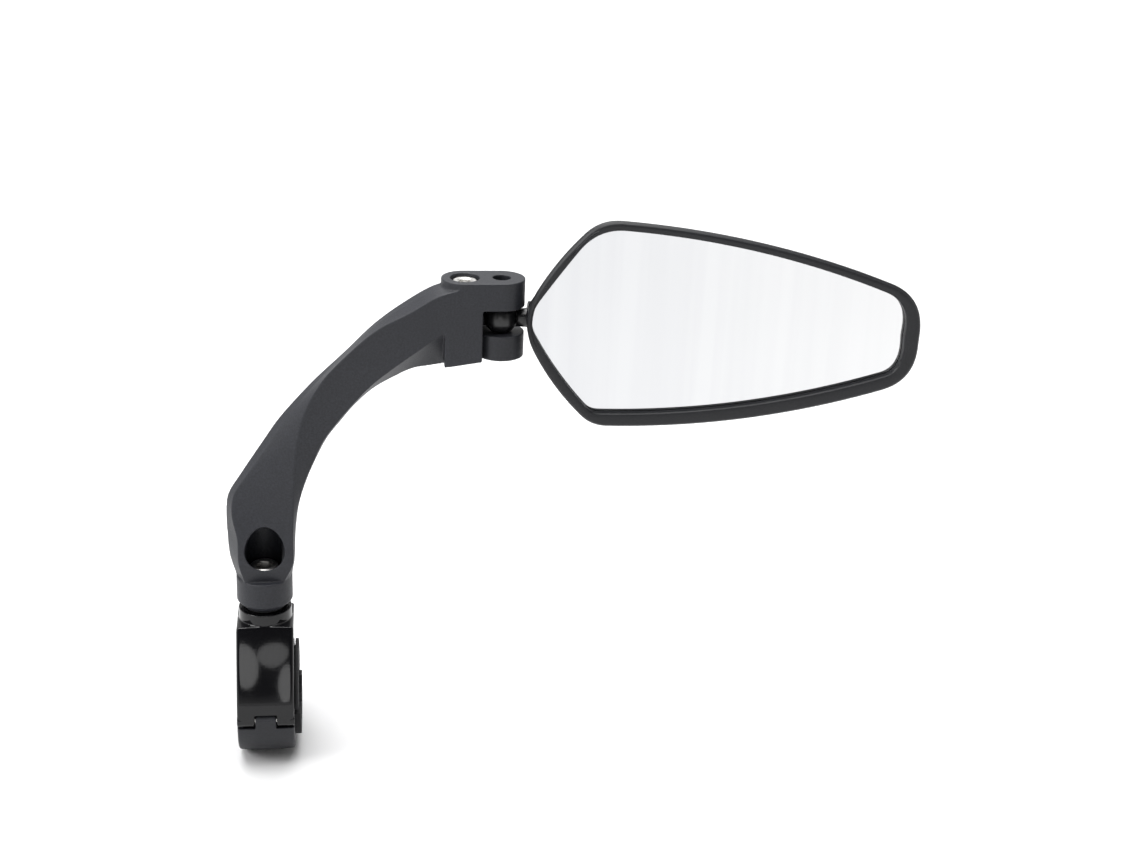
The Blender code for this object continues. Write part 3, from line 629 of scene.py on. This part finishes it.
def cap_screw(name, centre, head_z, shank_r, head_r, head_h, length, socket, down=True):
    """Socket head screw with a knurled head, a turned edge and a countersunk hex socket."""
    tip, rim, sink = 0.4, 0.55, 0.4
    low = head_h - sink
    profile = rounded_profile([(0, -length), (shank_r - tip, -length), (shank_r, -length + tip),
                               (shank_r, 0), (head_r, 0), (head_r, head_h - rim),
                               (head_r - rim, head_h), (socket * 0.5 + 0.75, head_h),
                               (socket * 0.5 + 0.3, low), (0, low)], 0.18, 4)
    axis = "z" if down else "-z"
    screw = turned(name, profile, (*centre, head_z), axis, 120)
    side = 1 if down else -1
    knurl_depth, knurl_count = 0.012, 40
    for vert in screw.data.vertices:
        h = side * (vert.co.z / MM - head_z)
        dx, dy = vert.co.x / MM - centre[0], vert.co.y / MM - centre[1]
        r = math.hypot(dx, dy)
        if r > head_r - 0.02 and 0.5 < h < head_h - 0.6:
            wave = 1 - knurl_depth * (1 + math.cos(knurl_count * math.atan2(dy, dx)))
            vert.co.x = (centre[0] + dx * wave) * MM
            vert.co.y = (centre[1] + dy * wave) * MM
    ends = sorted((head_z + side * (head_h * 0.42), head_z + side * (low + 0.6)))
    boolean(screw, [prism("socket", hexagon(centre[0], centre[1], socket), *ends)])
    bevelled(screw, 0.10, 2, 35)
    return screw


def flat_ring(name, centre, inner, outer, z_low, z_high):
    """Washer with a small chamfer b on every edge."""
    b = 0.12
    profile = [(inner, z_low + b), (inner + b, z_low), (outer - b, z_low), (outer, z_low + b),
               (outer, z_high - b), (outer - b, z_high), (inner + b, z_high), (inner, z_high - b)]
    return turned(name, profile, (centre[0], centre[1], 0), "z", 96)


def hex_nut(name, centre, across, bore, height, turn=0.0):
    """Hex nut whose corners are turned off to a cone at both ends."""
    x, y, z = centre
    nut = prism(name, hexagon(x, y, across, turn), z, z + height)
    corner_r = across / math.sqrt(3.0)
    small, full, clear = corner_r * 0.90, corner_r * 1.02, corner_r * 1.6
    trim = turned("trim", [(small, -0.4), (full, 0.5), (full, height - 0.5), (small, height + 0.4),
                           (clear, height + 0.4), (clear, -0.4)], centre, "z", 96)
    hole = prism("hole", circle(x, y, bore, 64), z - 1, z + height + 1)
    boolean(nut, [trim, hole])
    return bevelled(nut, 0.12, 2, 25)


def make_fasteners():
    """Screws as head level, shank and head radii, head height, length and key size in turn."""
    base = cap_screw("base_bolt", (0, 0), 45.1, 3.0, 5.0, 6.0, 27.5, 5.0)
    place(base, STEEL, "clamp", "steel", "base_screw")
    top = cap_screw("jaw_bolt", (SCREW_X, 0), 150.7, 2.5, 4.35, 5.0, 20.2, 4.0)
    place(top, STEEL, "ball_screw", "steel", "ball_screw")
    closing = cap_screw("closing_bolt", (0, LUG_Y), -8.0, 2.5, 4.25, 5.0, 13.0, 4.0, down=False)
    place(closing, STEEL, "clamp_lower_half", "steel", "clamp_screw")

    place(flat_ring("closing_washer", (0, LUG_Y), CLAMP_BORE_R, 4.6, -7.7, -6.9), STEEL,
          "clamp_lower_half", "steel", "clamp_screw_washer")
    place(flat_ring("base_washer", (0, 0), BASE_BORE_R, 5.8, 43.6, 44.8), STEEL,
          "arm", "steel", "base_screw_washer")
    place(flat_ring("jaw_washer", (SCREW_X, 0), BALL_BORE_R, 4.6, 149.7, 150.4), STEEL,
          "arm", "steel", "ball_screw_washer")
    place(flat_ring("neck_washer", (0, 0), BASE_BORE_R, 7.2, 35.3, 35.7), RUBBER,
          "clamp", "shim_rubber", "swivel_washer")

    place(hex_nut("closing_nut", (0, LUG_Y, LUG_NUT_Z), 8.0, CLAMP_BORE_R, 3.8), STEEL,
          "clamp", "steel", "clamp_nut")
    place(hex_nut("seat_nut", (0, 0, 18.0), 10.0, BASE_BORE_R, 5.0, math.pi / 6), STEEL,
          "clamp", "steel", "neck_nut")
    jaw_nut = hex_nut("clamp_jaw_nut", (SCREW_X, 0, LOWER_JAW_BOTTOM + GAP), 8.0, BALL_BORE_R, 4.0,
                      math.pi / 6)
    place(jaw_nut, STEEL, "lower_jaw", "steel", "jaw_nut")

    end = RING_HALF_W - 0.2
    pin = rounded_profile([(0, -end), (PIN_R, -end), (PIN_R, end), (0, end)], 0.3, 5)
    place(turned("hinge_rod", pin, (0, HINGE_Y, HINGE_Z), "x", 48), STEEL,
          "clamp", "steel", "hinge_pin")


# ---------------------------------------------------------------- arm

def arm_sections():
    """Sections of the arm from its foot to the ball clamp.

    Each row holds the crest (x, z), the left edge of the front face, the front ridge and the
    front lower edge (x, y, z), and the under edge (x, z).
    """
    rows = [
        ((-11.9, 55.0), (-8.4, -8.3, 55.0), (10.2, -8.9, 55.0), (10.7, -6.5, 55.0), (10.8, 55.0)),
        ((-12.5, 64.0), (-8.6, -7.6, 64.0), (10.4, -8.8, 64.0), (11.0, -6.3, 64.0), (11.2, 64.0)),
        ((-12.6, 72.0), (-10.4, -4.8, 72.0), (10.6, -8.6, 73.0), (12.0, -6.2, 74.0), (12.4, 73.5)),
        ((-11.6, 78.5), (-9.6, -3.0, 79.0), (10.8, -8.5, 82.5), (14.2, -6.1, 83.0), (14.8, 82.0)),
        ((-7.1, 86.0), (-4.9, -2.8, 86.6), (11.1, -8.2, 91.0), (17.2, -6.0, 91.0), (18.0, 90.0)),
        ((0.4, 97.6), (2.6, -2.8, 97.6), (12.3, -7.8, 100.5), (21.2, -6.0, 100.0), (22.2, 98.6)),
        ((6.8, 107.0), (8.4, -2.8, 106.6), (14.8, -7.3, 110.5), (25.8, -6.0, 106.6), (26.8, 104.8)),
        ((17.6, 119.4), (18.2, -2.6, 119.2), (20.8, -7.0, 121.8), (31.4, -6.2, 113.6), (32.0, 111.2)),
        ((28.4, 130.0), (28.4, -2.4, 130.2), (28.6, -7.0, 130.7), (38.0, -6.8, 121.0), (38.2, 117.0)),
        ((39.0, 140.6), (38.9, -2.6, 140.5), (39.0, -7.5, 140.2), (45.4, -7.6, 127.4), (45.2, 121.2)),
        ((50.0, 148.8), (49.9, -3.0, 148.0), (49.7, -8.0, 146.3), (53.2, -8.0, 133.4), (51.6, 124.2)),
        ((59.2, 154.0), (59.2, -3.0, 153.4), (59.0, -8.0, 151.9), (60.4, -8.0, 138.8), (58.6, 125.4)),
        ((67.0, 155.2), (67.0, -3.0, 155.0), (67.0, -8.0, 154.6), (67.5, -8.0, 141.8), (66.0, 126.6)),
    ]
    rings = []
    for crest, left, ridge, lower, under in rows:
        t = Vector((crest[0], CREST_Y, crest[1]))
        f = Vector(left)
        r = Vector(ridge)
        low = Vector(lower)
        b = Vector((under[0], 0.0, under[1]))
        centre = (t + r + low + b) / 4
        back_top = t.lerp(Vector((centre.x, 0, centre.z)), 0.30)
        back_top.y = -ridge[1] - 1.4
        back_low = b.lerp(Vector((centre.x, 0, centre.z)), 0.24)
        back_low.y = -lower[1] + 0.2
        rings.append([t, f, r, low, b, back_low, back_top])
    return rings


def foot_ring(height):
    """The lowest section lies on the collar's circle, point for point with the others."""
    angles = (180, 228, 316, 334, 0, 42, 136)
    return [Vector((COLLAR_R * math.cos(math.radians(a)), COLLAR_R * math.sin(math.radians(a)), height))
            for a in angles]


def window_cutter():
    """Egg-shaped window, wider below, cut into the foot at a downward slant."""
    half_w, half_h, egg_shape = 6.8, 7.4, 0.16
    egg = []
    for i in range(72):
        a = 2 * math.pi * i / 72
        egg.append((half_w * math.sin(a) * (1 - egg_shape * math.cos(a)), half_h * math.cos(a)))
    tilt = math.radians(28)
    inward = Vector((0, math.cos(tilt), -math.sin(tilt)))
    upward = Vector((0, math.sin(tilt), math.cos(tilt)))
    centre = Vector((0.6, -8.5, 61.0))
    return loft("window", [[centre + inward * depth + Vector((u, 0, 0)) + upward * v for u, v in egg]
                           for depth in (-9.0, 9.5)])


def ball_profile(radius, steps=48):
    """Half circle for turning a sphere."""
    return [(radius * math.sin(math.pi * i / steps) if 0 < i < steps else 0,
             -radius * math.cos(math.pi * i / steps)) for i in range(steps + 1)]


def make_arm():
    rings = [foot_ring(COLLAR_TOP - 1.5), foot_ring(COLLAR_TOP), *arm_sections()]
    rails = [smooth_rail([ring[i] for ring in rings], 9 * (len(rings) - 1)) for i in range(7)]
    arm = loft("mirror_arm", [list(section) for section in zip(*rails)])
    stadium = circle(BALL.x, 0, JAW_R, 64, -math.pi / 2, math.pi)
    stadium += circle(SCREW_X, 0, JAW_R, 64, math.pi / 2, math.pi)
    block_outline = [(BLOCK_LEFT, 127.1), (64.4, 127.4), (BLOCK_X, 129.0), (BLOCK_X, UPPER_JAW_Z + 1),
                     (BLOCK_LEFT, UPPER_JAW_Z + 1)]
    web_outline = [(WEB_X[0], WEB_Z[0]), (WEB_X[1], WEB_Z[0]), (WEB_X[1], WEB_Z[1]), (WEB_X[0], WEB_Z[1])]
    collar = turned("collar", [(0, COLLAR_BOTTOM), (7.6, COLLAR_BOTTOM), (COLLAR_R, COLLAR_EDGE),
                               (COLLAR_R, COLLAR_TOP), (0, COLLAR_TOP)], (0, 0, 0), "z", 128)
    boolean(arm, [prism("jaw", stadium, UPPER_JAW_Z, TOP_Z),
                  prism("block", block_outline, -JAW_R, JAW_R, "y"),
                  prism("web", web_outline, WEB_FRONT_Y, JAW_R - GAP, "y"), collar], "UNION")
    slot_end = BALL.x + JAW_R + 1
    slot = rounded_box(0.5 * (TAIL_POCKET_X + slot_end), 0, 0.5 * (slot_end - TAIL_POCKET_X),
                       TAIL_POCKET_HALF_Y, 1.0)
    groove = turned("groove", [(COLLAR_R - 0.25, GROOVE_Z), (COLLAR_R + 1, GROOVE_Z - 0.25),
                               (COLLAR_R + 1, GROOVE_Z + 0.25)], (0, 0, 0), "z", 128)
    boolean(arm, [
        prism("base_bore", circle(0, 0, BASE_BORE_R, 64), COLLAR_BOTTOM - 1, BASE_FLOOR + 1),
        prism("base_pocket", circle(0, 0, BASE_POCKET_R, 96), BASE_FLOOR, BASE_POCKET_TOP),
        window_cutter(),
        prism("counterbore", circle(SCREW_X, 0, COUNTERBORE_R, 96), COUNTERBORE_Z, TOP_Z + 1),
        prism("screw_bore", circle(SCREW_X, 0, BALL_BORE_R, 64), 120, TOP_Z),
        prism("relief", circle(BALL.x, 0, RELIEF_R, 64), UPPER_JAW_Z - 1, TOP_Z + 1),
        turned("socket", ball_profile(BALL_R + GAP), BALL, "z", 96),
        prism("tail_pocket", slot, 120, LOWER_JAW_TOP + GAP),
        groove])
    soften(arm, 0.26, 5)
    place(arm, ARM_BLACK, "arm", "arm_black", "arm")


# ---------------------------------------------------------------- ball joint

def make_ball_joint():
    left = BLOCK_X + GAP
    reach = math.acos((left - BALL.x) / JAW_R)
    jaw = prism("jaw_lower", circle(BALL.x, 0, JAW_R, 96, -reach, 2 * reach),
                LOWER_JAW_BOTTOM, LOWER_JAW_TOP)
    tail = prism("tail", rounded_box(70.5, 0, 7.2, 5.0, 1.0), LOWER_JAW_BOTTOM, LOWER_JAW_TOP)
    boolean(jaw, [tail], "UNION")
    boolean(jaw, [turned("cup", ball_profile(BALL_R + GAP), BALL, "z", 96),
                  prism("bore", circle(SCREW_X, 0, BALL_BORE_R, 64), 120, 145),
                  prism("pocket", hexagon(SCREW_X, 0, JAW_NUT_POCKET[0], math.pi / 6), 120,
                        LOWER_JAW_BOTTOM + JAW_NUT_POCKET[1])])
    soften(jaw, 0.18, 5)
    place(jaw, JAW_BLACK, "lower_jaw", "jaw_black", "lower_jaw")

    place(turned("joint_ball", ball_profile(BALL_R, 64), BALL, "x", 128), BALL_BLACK,
          "pivot_ball", "ball_black", "pivot_ball")

    cup = BALL_R + GAP
    start = math.sqrt(cup ** 2 - NECK_R ** 2)
    shank = [(NECK_R, STUD_NECK_END), (STUD_FLARE_R, STUD_FLARE_X[0]), (STUD_FLARE_R, STUD_FLARE_X[1]),
             (STUD_SHANK_R, STUD_FLARE_X[1]), (STUD_SHANK_R, STUD_END - STUD_TIP),
             (STUD_SHANK_R - STUD_TIP, STUD_END), (0, STUD_END)]
    hollow = [(cup * math.sin(a), cup * math.cos(a)) for a in
              (math.asin(NECK_R / cup) * k / 8 for k in range(1, 8))]
    profile = [(0, cup), *hollow, (NECK_R, start), *rounded_profile(shank, 0.3, 4)]
    stud = turned("joint_stud", profile, BALL, "x", 96)
    place(stud, BALL_BLACK, "ball_stud", "ball_black", "ball_stud")


# ---------------------------------------------------------------- mirror head

def inset_corners(corners, inset):
    """The five corners after every edge has moved inwards by the inset."""
    lines = []
    for start, end in zip(corners, corners[1:] + corners[:1]):
        along = (end - start).normalized()
        lines.append((start + inset * Vector((along.y, -along.x)), along))
    moved = []
    for (p, d), (q, e) in zip(lines[-1:] + lines[:-1], lines):
        reach = ((q - p).x * e.y - (q - p).y * e.x) / (d.x * e.y - d.y * e.x)
        moved.append(p + reach * d)
    return moved


def head_outline(inset=0.0, shape=RIM, edge_steps=26, corner_steps=16):
    """Bowed edges joined by rounded corners, moved inwards by the inset."""
    full = [Vector(c) for c in shape[0]]
    bows = shape[1]
    trims = shape[2]
    corners = inset_corners(full, inset)
    edges = []
    for i, start in enumerate(corners):
        end = corners[(i + 1) % 5]
        along = end - start
        shrink = along.length / (full[(i + 1) % 5] - full[i]).length
        outward = Vector((-along.y, along.x)).normalized()
        middle = (start + end) / 2 + 2 * bows[i] * shrink ** 2 * outward
        u_low = min(trims[i] / along.length, 0.44)
        u_high = 1 - min(trims[(i + 1) % 5] / along.length, 0.44)
        edges.append([start.lerp(middle, u).lerp(middle.lerp(end, u), u)
                      for u in (u_low + (u_high - u_low) * k / edge_steps for k in range(edge_steps + 1))])
    points = []
    for i, edge in enumerate(edges):
        following = edges[(i + 1) % 5]
        a, b = edge[-1], following[0]
        ta, tb = edge[-1] - edge[-2], following[1] - following[0]
        reach = ((b - a).x * tb.y - (b - a).y * tb.x) / (ta.x * tb.y - ta.y * tb.x)
        knee = a + reach * ta
        points += edge
        points += [a.lerp(knee, k / corner_steps).lerp(knee.lerp(b, k / corner_steps), k / corner_steps)
                   for k in range(1, corner_steps)]
    return [tuple(point) for point in points]


def head_ring(y, inset, shape=RIM):
    return [(x, y, z) for x, z in head_outline(inset, shape)]


def section_rings(profile, shape, radius=0.35, steps=4):
    """Rings for a rounded (inset, y) profile."""
    return [head_ring(y, inset, shape) for inset, y in rounded_profile(profile, radius, steps)]


def make_head():
    """Bezel, glass, shell and pad from (inset, y) profiles; y runs from the front to the back."""
    outer = [(1.1, -3.9), (0.9, -3.9), (0.0, -7.6), (0.05, -8.3), (0.75, -9.2), (1.3, -9.4)]
    inner = [(-1.3, -9.4), (-0.35, -9.2), (-0.02, -8.7), (0.08, -6.9), (0.08, -6.7), (-1.2, -6.7),
             (-1.2, -3.9), (-1.3, -3.9)]
    rings = section_rings(outer, RIM, 0.6, 5) + section_rings(inner, OPENING, 0.25, 4)
    bezel = loft("mirror_bezel", rings, closed=True)
    place(bezel, BEZEL_BLACK, "mirror_head", "bezel_black", "bezel")

    glass = loft("mirror_plate", section_rings([(-0.1, -6.4), (-0.2, -6.4), (-0.9, -6.1), (-0.9, -4.4),
                                                (-0.6, -4.4)], OPENING, 0.2, 3))
    place(glass, MIRROR, "mirror_head", "silvered_glass", "mirror_glass")

    back = [(1.5, SHELL_RIM_Y), (2.4, -1.0), (3.9, 2.0), (5.4, 4.6), (7.2, 6.2), (10.0, 7.2), (14.0, 7.6)]
    fine = smooth_rail([Vector((inset, y, 0)) for inset, y in back], 36)
    shell = loft("mirror_back", [head_ring(p.y, p.x) for p in fine])
    cavity = ((SHELL_RIM_Y - 1, 3.6), (-1.0, 4.6), (1.8, 6.1), (3.6, 7.4), (5.0, 10.0), (5.7, 14.0))
    hollow = loft("hollow", [head_ring(y, inset) for y, inset in cavity])
    boolean(shell, [hollow])
    boss = prism("boss", circle(0, BALL.z, BOSS_R, 96), *BOSS_X, "x")
    front = prism("front", [(80, 120), (110, 120), (110, 165), (80, 165)], -20, SHELL_RIM_Y, "y")
    boolean(boss, [front])
    boolean(shell, [boss], "UNION")
    stud_bore_r = STUD_SHANK_R + GAP
    boolean(shell, [prism("bore", circle(0, BALL.z, stud_bore_r, 48), 85, 94, "x"),
                    prism("nut_space", circle(0, BALL.z, NUT_SPACE_R, 64), BOSS_WALL_X, 101, "x")])
    soften(shell, 0.30, 6)
    place(shell, SHELL_BLACK, "mirror_head", "shell_black", "back_shell")

    pad_rings = section_rings([(6.4, -4.1), (6.0, -4.0), (6.0, -3.4), (6.4, -3.3)], OPENING, 0.1, 2)
    pad = loft("mount_tape", pad_rings)
    boolean(pad, [prism("trim", rounded_box(90, BALL.z, 16, 60, 2.0), -20, 20, "y")])
    place(pad, FOAM, "mirror_head", "foam", "glass_pad")

    low, high = RING_X
    ring = turned("stud_ring", [(2.3, low + 0.1), (2.4, low), (3.9, low), (4.0, low + 0.1),
                                (4.0, high - 0.1), (3.9, high), (2.4, high), (2.3, high - 0.1)],
                  (0, 0, BALL.z), "x", 64)
    place(ring, STEEL, "mirror_head", "steel", "stud_washer")
    nut = prism("stud_end_nut", hexagon(0, BALL.z, 7.0, math.pi / 6), *STUD_NUT_X, "x")
    boolean(nut, [prism("hole", circle(0, BALL.z, stud_bore_r, 48), 90, 102, "x")])
    bevelled(nut, 0.15, 2, 30)
    place(nut, STEEL, "ball_stud", "steel", "stud_nut")


# ---------------------------------------------------------------- studio and camera

def make_floor():
    """Round paper floor, just under the clamp, in metres."""
    radius, drop = 9.0, 0.00005
    bm = bmesh.new()
    bm.faces.new([bm.verts.new((x, y, 0)) for x, y in circle(0, 0, radius, 64)])
    mesh = bpy.data.meshes.new("floor")
    bm.to_mesh(mesh)
    bm.free()
    floor = bpy.data.objects.new("floor", mesh)
    floor.location.z = FLOOR_Z * MM - drop
    bpy.context.scene.collection.objects.link(floor)
    g = Graph("floor_paper", (0.55, 0.55, 0.553), 0.8, specular=0.1)
    tint = g.blend(g.spread(g.noise(3, 2), 0.0, 1.0), (0.545, 0.545, 0.548), (0.56, 0.56, 0.563))
    mesh.materials.append(g.finish(tint))


def point_lamp(lamp, where, target):
    """Aim the lamp at the target and keep it out of the camera's sight."""
    lamp.location = where
    lamp.rotation_euler = (Vector(target) - Vector(where)).to_track_quat("-Z", "Y").to_euler()
    lamp.visible_camera = False
    bpy.context.scene.collection.objects.link(lamp)


def sun_light(where, strength, softness):
    data = bpy.data.lights.new("sky_panel", "SUN")
    data.energy = strength
    data.angle = math.radians(softness)
    point_lamp(bpy.data.objects.new("sky_panel", data), where, (0, 0, 0))


def softbox(name, azimuth, elevation, distance, size, radiance):
    """Soft light seen from the clamp at an azimuth from -Y towards +X, with an even glow.

    A lamp's energy is its radiance times pi times the area of its ellipse.
    """
    a = math.radians(azimuth)
    e = math.radians(elevation)
    where = Vector((math.sin(a) * math.cos(e), -math.cos(a) * math.cos(e), math.sin(e))) * distance
    data = bpy.data.lights.new(name, "AREA")
    data.shape = "ELLIPSE"
    data.size, data.size_y = size
    data.energy = radiance * math.pi * math.pi / 4 * size[0] * size[1]
    point_lamp(bpy.data.objects.new(name, data), where, (0, 0, 0))


def make_world():
    """Pale studio round the horizon, dimmer overhead and in front, where gloss wants contrast."""
    world = bpy.data.worlds.new("studio")
    world.use_nodes = True
    tree = world.node_tree
    background = tree.nodes["Background"]
    coords = tree.nodes.new("ShaderNodeTexCoord")
    split = tree.nodes.new("ShaderNodeSeparateXYZ")
    tree.links.new(coords.outputs["Generated"], split.inputs["Vector"])

    def ramp(socket, start, end, low, high):
        item = tree.nodes.new("ShaderNodeMapRange")
        item.interpolation_type = "SMOOTHSTEP"
        for key, value in (("From Min", start), ("From Max", end), ("To Min", low), ("To Max", high)):
            item.inputs[key].default_value = value
        tree.links.new(split.outputs[socket], item.inputs["Value"])
        return item.outputs["Result"]

    def multiply(first, second):
        item = tree.nodes.new("ShaderNodeMath")
        item.operation = "MULTIPLY"
        tree.links.new(first, item.inputs[0])
        if isinstance(second, float):
            item.inputs[1].default_value = second
        else:
            tree.links.new(second, item.inputs[1])
        return item.outputs["Value"]

    sky = ramp("Z", 0.34, 0.60, 1.0, 0.20)
    front = multiply(ramp("Y", -0.85, -0.55, 1.0, 0.0), ramp("Z", 0.05, 0.16, 0.0, 1.0))
    keep = tree.nodes.new("ShaderNodeMath")
    keep.operation = "SUBTRACT"
    keep.inputs[0].default_value = 1.0
    tree.links.new(multiply(front, 0.93), keep.inputs[1])
    tree.links.new(multiply(sky, keep.outputs["Value"]), background.inputs["Strength"])
    background.inputs["Color"].default_value = (1.0, 1.0, 1.0, 1.0)
    bpy.context.scene.world = world


def make_studio():
    make_floor()
    make_world()
    sun_light((-0.06, 0.06, 1.0), 5.2, 60)
    softbox("left_box", -10.5, 17, 2.0, (0.37, 0.49), 3.0)
    softbox("right_box", 6.5, 11.5, 2.0, (0.22, 0.42), 3.0)
    softbox("round_box", 0.7, 21, 2.0, (0.40, 0.27), 2.3)
    softbox("side_key", -66, 40, 2.0, (0.9, 0.9), 13.0)
    softbox("over_key", 180, 62, 2.2, (2.0, 1.4), 2.5)


def make_camera():
    """Camera in front of the mirror, a little above it and slightly rolled."""
    azimuth = math.radians(-8.0)
    elevation = math.radians(22.0)
    roll = math.radians(2.5)
    forward = Vector((-math.sin(azimuth) * math.cos(elevation),
                      math.cos(azimuth) * math.cos(elevation), -math.sin(elevation)))
    right = Vector((math.cos(azimuth), math.sin(azimuth), 0))
    up = right.cross(forward)
    right_rolled = math.cos(roll) * right + math.sin(roll) * up
    up_rolled = -math.sin(roll) * right + math.cos(roll) * up
    data = bpy.data.cameras.new("camera")
    data.sensor_width = 36.0
    data.sensor_fit = "HORIZONTAL"
    data.lens = 56.84
    target = Vector((106.58, 0.0, 101.85)) * MM
    distance = 0.629
    data.clip_start = 0.01
    data.clip_end = 50.0
    camera = bpy.data.objects.new("camera", data)
    matrix = Matrix((right_rolled, up_rolled, -forward)).transposed().to_4x4()
    matrix.translation = target - forward * distance
    camera.matrix_world = matrix
    bpy.context.scene.collection.objects.link(camera)
    bpy.context.scene.camera = camera
    bpy.context.scene.view_settings.view_transform = "Standard"


make_camera()
make_clamp()
make_shims()
make_fasteners()
make_arm()
make_ball_joint()
make_head()
make_studio()

bpy.context.view_layer.update()
